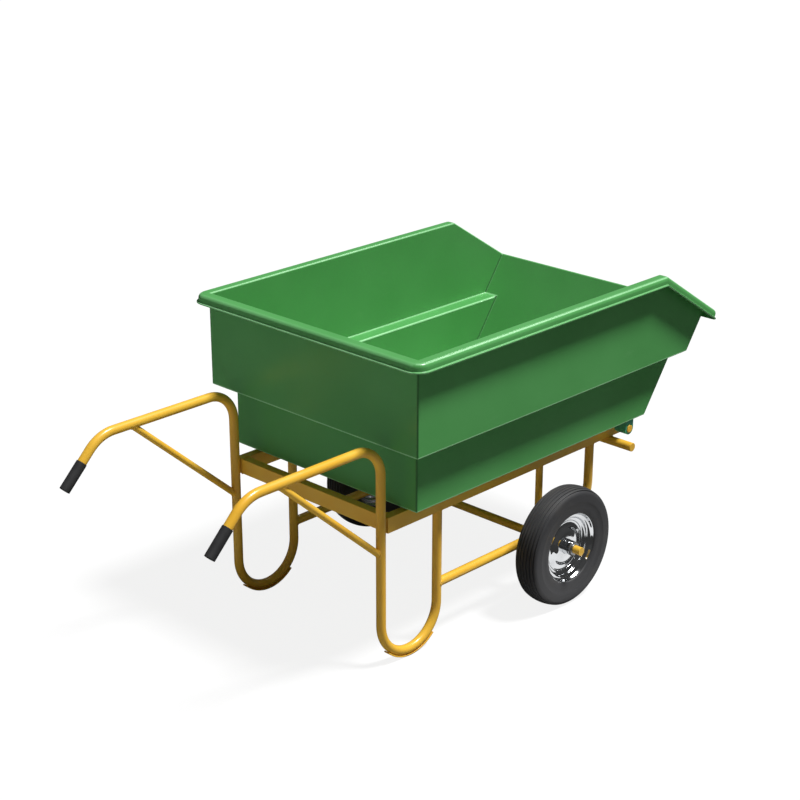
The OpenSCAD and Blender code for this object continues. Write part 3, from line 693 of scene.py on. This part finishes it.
def rounded(points, radius, steps=6, share=0.45):
    # a closed outline with each corner rounded, as far as its sides leave room
    made = []
    count = len(points)
    for i in range(count):
        here = Vector(points[i])
        back, on = Vector(points[i - 1]) - here, Vector(points[(i + 1) % count]) - here
        reach = min(radius, back.length * share, on.length * share)
        start, end = here + back.normalized() * reach, here + on.normalized() * reach
        for step in range(steps + 1):
            t = step / steps
            made.append(tuple(start * (1 - t) ** 2 + here * 2 * t * (1 - t) + end * t ** 2))
    return made


def mirrored(points):
    return [(-u, r) for u, r in points]


def tyreOutline():
    # half of the section, from the middle of the tread to the bead and back inside, then mirrored
    form = wheelForm
    crownMid = form["tyreRadius"] - form["crown"]
    inset = form["crown"] - form["shoulder"]
    lean = math.asin((form["tyreHalf"] - form["shoulder"]) / inset)
    shoulderMid = (form["tyreHalf"] - form["shoulder"], crownMid + inset * math.cos(lean))
    crownLength = form["crown"] * lean
    reach = crownLength + form["shoulder"] * (math.pi / 2 - lean) * form["wrap"]
    half = []
    for i in range(form["samples"]):
        along = reach * i / form["samples"]
        if along < crownLength:
            angle, middle, radius = along / form["crown"], (0, crownMid), form["crown"]
        else:
            angle = lean + (along - crownLength) / form["shoulder"]
            middle, radius = shoulderMid, form["shoulder"]
        for k in range(form["grooves"]):
            grooveMid = (k - (form["grooves"] - 1) / 2) * form["groovePitch"]
            off = abs(along - grooveMid) / (form["grooveWidth"] / 2)
            if off < 1:
                radius -= form["grooveDepth"] * min(1, form["grooveSteep"] * (1 - off)) ** form["grooveBend"]
        half.append((middle[0] + radius * math.sin(angle), middle[1] + radius * math.cos(angle)))
    half += [(form["tyreHalf"], shoulderMid[1])] + tyreSide + tyreBead + tyreInside
    return half + mirrored(reversed(half[1:]))


def rimOutline():
    form = rimForm
    back = [(u * form["narrow"] - form["inset"], r + form["thick"]) for u, r in rimSheet[1:]]
    front = rimSheet + mirrored(reversed(rimSheet))
    return rounded(front + mirrored(back) + list(reversed(back)), form["bend"])


def discOutline():
    back = [(u - discForm["thick"], r) for u, r in reversed(discSheet)]
    return rounded(discSheet + back, discForm["bend"])


def makeWheel(side):
    outward = -1 if side == "left" else 1
    low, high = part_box("tyre_" + side)
    middle = (low + high) / 2
    body = "wheel_" + side
    for node, outline, slot in (("tyre", tyreOutline(), "tyre_grey"), ("rim", rimOutline(), "rim_chrome"),
                                ("wheel_disc", discOutline(), "rim_chrome")):
        skin = turn(outline, middle, outward, wheelForm["steps"])
        piece = newPiece(node + "_" + side + ".made", skin, slot)
        piece.data.shade_smooth()
        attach(piece, body)
        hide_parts(node + "_" + side)
    for node, slot, width in (("hub", "rim_chrome", 0.002), ("hub_bushes", "bush_grey", 0.001)):
        eased(node + "_" + side, body, slot, width)


for side in ("left", "right"):
    makeWheel(side)
print("wheels turned")


def growPiece(name, mesh, tree, values):
    # runs a Geometry Nodes tree on a mesh, then keeps the result as a plain mesh
    piece = bpy.data.objects.new(name, mesh)
    scene.collection.objects.link(piece)
    grown = piece.modifiers.new("grown", "NODES")
    grown.node_group = tree
    for socket in tree.interface.items_tree:
        if socket.in_out == "INPUT" and socket.name in values:
            grown[socket.identifier] = values[socket.name]
    settle(piece)
    return piece


def newTree(name, inputs):
    tree = bpy.data.node_groups.new(name, "GeometryNodeTree")
    tree.interface.new_socket("Geometry", in_out="INPUT", socket_type="NodeSocketGeometry")
    tree.interface.new_socket("Geometry", in_out="OUTPUT", socket_type="NodeSocketGeometry")
    for label, kind in inputs.items():
        tree.interface.new_socket(label, in_out="INPUT", socket_type=kind)
    board = Board(tree)
    return board, board.node("NodeGroupInput")


def endTree(board, shape, slot):
    shape = board.node("GeometryNodeRealizeInstances", None, {"Geometry": shape})
    shape = board.node("GeometryNodeSetMaterial", None, {"Geometry": shape, "Material": finishes[slot]})
    board.node("NodeGroupOutput", None, {0: shape})
    return board.tree


# weld beads: ripples along each seam of the frame
weldForm = {
    "bead": 0.0026, "pitch": 0.0024, "squash": 0.8, "seed": 7, "jitter": (0.85, 1.1),
    "seatIn": 0.985, "ringIn": 0.95, "railSide": 0.009, "railFace": 0.0125, "railEnd": 0.003,
    "saddleSide": 0.0105, "saddleHigh": 0.0115, "saddleReach": 0.9,
}
tubeForm = {
    "x": 0.325, "tube": 0.015, "brace": 0.0105, "strut": 0.012, "boss": 0.022, "bossZ": 0.2,
    "legRear": -0.732, "legFront": -0.486, "post": 0.258, "handleZ": 0.736, "braceTop": -1.138,
    "braceFoot": 0.377, "railLow": 0.45, "railHigh": 0.50, "railHalf": 0.015,
    "crossY": 0.355, "crossZ": 0.4349,
}


def ringAt(middle, normal, radius, count=48):
    spin = Vector(normal).to_track_quat("Z", "Y").to_matrix()
    return [Vector(middle) + spin @ Vector((radius * math.cos(a), radius * math.sin(a), 0))
            for a in (2 * math.pi * i / count for i in range(count))]


def seamOn(start, way, radius, mainWay, mainRadius):
    # where a tube that leaves the main tube's middle comes through its wall
    way, mainWay = Vector(way).normalized(), Vector(mainWay).normalized()
    flat = way - mainWay * way.dot(mainWay)
    made = []
    for point in ringAt(start, way, radius):
        off = point - Vector(start)
        off -= mainWay * off.dot(mainWay)
        a, b, c = flat.dot(flat), off.dot(flat), off.dot(off) - mainRadius ** 2
        made.append(point + way * ((-b + math.sqrt(b * b - a * c)) / a))
    return made


def seamsOf(sign):
    form, weld = tubeForm, weldForm
    across, along, up = (1, 0, 0), (0, 1, 0), (0, 0, 1)
    x, tube, seat = sign * form["x"], form["tube"], form["tube"] * weld["seatIn"]
    braceWay = Vector((0, form["legRear"] - form["braceTop"], form["braceFoot"] - form["handleZ"]))
    braceTop = (x, axleY + form["braceTop"], form["handleZ"])
    braceFoot = (x, axleY + form["legRear"], form["braceFoot"])
    legSeat = (x, axleY + form["legFront"], form["bossZ"])
    boss = (x, axleY, form["bossZ"])
    loops = [
        seamOn(braceTop, braceWay, form["brace"], along, tube),
        seamOn(braceFoot, -braceWay, form["brace"], up, tube),
        seamOn(legSeat, along, seat, up, tube),
        seamOn(boss, (0, -1, 0), tube, across, form["boss"]),
        seamOn(boss, along, tube, across, form["boss"]),
        seamOn(boss, up, form["strut"], across, form["boss"]),
        ringAt((x, axleY, form["railLow"]), up, form["strut"]),
        ringAt((x, axleY + form["post"], form["railLow"]), up, tube * weld["ringIn"]),
        ringAt((x, axleY + form["legFront"], form["railLow"]), up, tube * weld["ringIn"]),
    ]
    low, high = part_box("rear_cross_member")
    inner = sign * (form["x"] - form["railHalf"])
    corners = ((low.y, low.z), (high.y, low.z), (high.y, high.z), (low.y, high.z))
    loops.append([Vector((inner, y, z)) for y, z in corners])
    lines = []
    for side in (-1, 1):
        railX, railY = x + side * weld["railSide"], axleY + form["legRear"] + weld["railFace"]
        lines.append([Vector((railX, railY, z))
                      for z in (form["railLow"] + weld["railEnd"], form["railHigh"] - weld["railEnd"])])
        crossY = axleY + form["crossY"] + side * weld["saddleSide"]
        crossZ = form["crossZ"] + weld["saddleHigh"]
        lines.append([Vector((x + end * form["railHalf"] * weld["saddleReach"], crossY, crossZ))
                      for end in (-1, 1)])
    return loops, lines


def weldTree():
    board, given = newTree("weldBead", {"Bead": "NodeSocketFloat", "Pitch": "NodeSocketFloat",
                                        "Squash": "NodeSocketFloat", "Seed": "NodeSocketInt"})
    seam = board.node("GeometryNodeMeshToCurve", None, {"Mesh": given["Geometry"]})
    points = board.node("GeometryNodeResampleCurve", {"mode": "LENGTH"}, {
        "Curve": seam, "Length": given["Pitch"]})
    along = board.node("GeometryNodeInputTangent")
    turned = board.node("FunctionNodeAlignRotationToVector", {"axis": "Z"}, {"Vector": along})
    ripple = board.node("GeometryNodeMeshUVSphere", None, {
        "Segments": 10, "Rings": 7, "Radius": given["Bead"]})
    ripple = board.node("GeometryNodeSetShadeSmooth", None, {"Geometry": ripple})
    least, most = weldForm["jitter"]
    jitter = board.node("FunctionNodeRandomValue", {"data_type": "FLOAT"}, {
        2: least, 3: most, "Seed": given["Seed"]})
    size = board.node("ShaderNodeCombineXYZ", None, {0: jitter, 1: jitter, 2: jitter * given["Squash"]})
    beads = board.node("GeometryNodeInstanceOnPoints", None, {
        "Points": points, "Instance": ripple, "Rotation": turned, "Scale": size})
    return endTree(board, beads, "frame_yellow")


def makeWelds():
    paths = bmesh.new()
    for sign in (-1, 1):
        loops, lines = seamsOf(sign)
        for path, closed in [(loop, True) for loop in loops] + [(line, False) for line in lines]:
            verts = [paths.verts.new(point) for point in path]
            for first, second in zip(verts, verts[1:] + verts[:1] if closed else verts[1:]):
                paths.edges.new((first, second))
    mesh = bpy.data.meshes.new("weldPaths")
    paths.to_mesh(mesh)
    paths.free()
    welds = growPiece("welds.made", mesh, weldTree(), {
        "Bead": weldForm["bead"], "Pitch": weldForm["pitch"], "Squash": weldForm["squash"],
        "Seed": weldForm["seed"],
    })
    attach(welds, "frame")
    return welds


print("weld beads laid,", len(makeWelds().data.polygons), "faces")


# hinge bolts through the tub's floor, each with a hexagon socket
boltForm = {
    "y": 0.391, "across": (0.3514, 0.3754), "bed": 0.5193, "head": 0.0078, "proud": 0.0009, "headSides": 40,
    "socket": 0.0042, "socketDepth": 0.0007, "shank": 0.004, "length": 0.016, "shankSides": 24,
}


def boltTree():
    board, given = newTree("socketBolt", {name: "NodeSocketFloat" for name in
                                          ("Head", "Proud", "Socket", "Socket Depth", "Shank", "Length")})

    def lift(shape, height):
        move = board.node("ShaderNodeCombineXYZ", None, {2: height})
        return board.node("GeometryNodeTransform", None, {"Geometry": shape, "Translation": move})

    def post(sides, radius, depth):
        return board.node("GeometryNodeMeshCylinder", None, {
            "Vertices": sides, "Radius": radius, "Depth": depth})

    head = post(boltForm["headSides"], given["Head"], given["Proud"] * 2)
    socket = lift(post(6, given["Socket"], given["Socket Depth"] * 2), given["Proud"])
    head = board.node("GeometryNodeMeshBoolean", {"operation": "DIFFERENCE"}, {
        "Mesh 1": head, "Mesh 2": socket})
    shank = lift(post(boltForm["shankSides"], given["Shank"], given["Length"]), given["Length"] * -0.5)
    both = board.node("GeometryNodeJoinGeometry")
    for part in (head, shank):
        board.plug(part, both.socket.node.inputs[0])
    bolts = board.node("GeometryNodeInstanceOnPoints", None, {"Points": given["Geometry"], "Instance": both})
    return endTree(board, bolts, "zinc_steel")


def makeBolts():
    form = boltForm
    mesh = bpy.data.meshes.new("boltPlaces")
    places = [(sign * x, axleY + form["y"], form["bed"]) for sign in (-1, 1) for x in form["across"]]
    mesh.from_pydata(places, [], [])
    bolts = growPiece("hinge_bolts.made", mesh, boltTree(), {
        "Head": form["head"], "Proud": form["proud"], "Socket": form["socket"],
        "Socket Depth": form["socketDepth"], "Shank": form["shank"], "Length": form["length"],
    })
    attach(bolts, "tub")
    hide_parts("hinge_bolts")
    return bolts


print("hinge bolts set,", len(makeBolts().data.polygons), "faces")

for side in ("left", "right"):
    eased("hinge_ear_" + side, "tub", "ear_green", 0.002)
    eased("grip_" + side, "frame", "grip_black", 0.003, 4)
print("ears and grips eased")

# small pieces that show as their CAD shape
slotOf = {
    "inner_tube": "tube_rubber", "valve": "tube_rubber",
    "axle_washers": "zinc_steel", "axle_rings": "zinc_steel",
}
for nodeName, node in frame["nodes"].items():
    if not node.hide_render:
        slot = next(s for start, s in slotOf.items() if nodeName.startswith(start))
        node.data.materials.clear()
        node.data.materials.append(finishes[slot])
